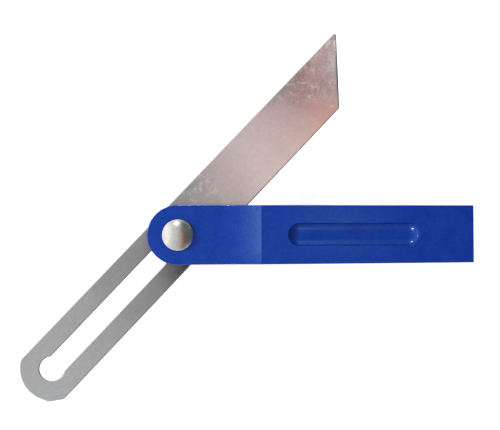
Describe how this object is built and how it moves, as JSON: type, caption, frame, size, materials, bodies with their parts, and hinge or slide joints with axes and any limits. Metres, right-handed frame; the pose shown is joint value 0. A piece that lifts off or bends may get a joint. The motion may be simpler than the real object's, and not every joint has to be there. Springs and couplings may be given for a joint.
{
  "type": "sliding bevel",
  "caption": "Sliding bevel: a slotted steel blade that swings and slides on a bolt through a blue plastic handle and is locked by a wing nut.",
  "frame": {"origin": "under the middle of the tool's box, at the height of the wing nut's lowest point", "axes": "+X along the handle towards its butt, +Z up the bolt towards its domed head; the picture is the view from above with +Y up"},
  "size_m": [0.1984, 0.16, 0.0292],
  "materials": {
    "blue_plastic": "moulded, satin, dark blue",
    "blade_steel": "ground spring steel, satin",
    "polished_steel": "bright plated",
    "white_nylon": "natural nylon",
    "zinc_plate": "zinc plated"
  },
  "bodies": {
    "stock": {"handle": "blue_plastic", "pivot_bolt": "polished_steel"},
    "friction_washers": {"front_friction_washer": "white_nylon", "rear_friction_washer": "white_nylon"},
    "blade": {"blade": "blade_steel"},
    "clamp_washer": {"flat_washer": "zinc_plate"},
    "wing_nut": {"wing_nut": "zinc_plate"}
  },
  "joints": [
    {"name": "blade_swing", "type": "hinge", "parent": "stock", "child": "friction_washers", "pos_m": [-0.03293, -0.00974, 0.0196], "axis": [0, 0, 1], "range_deg": [-32, 299.5]},
    {"name": "blade_slide", "type": "slide", "parent": "friction_washers", "child": "blade", "axis": [0.6915, 0.7224, 0], "range_m": [-0.011, 0.079]},
    {"name": "clamp_release", "type": "slide", "parent": "stock", "child": "clamp_washer", "axis": [0, 0, -1], "range_m": [0, 0.00161]},
    {"name": "wing_nut_turn", "type": "hinge", "parent": "clamp_washer", "child": "wing_nut", "pos_m": [-0.03293, -0.00974, 0.009], "axis": [0, 0, -1], "range_deg": [0, 720]}
  ],
  "couplings": [
    {"joint": "clamp_release", "follows": "wing_nut_turn", "m_per_rad": 0.00012732}
  ]
}
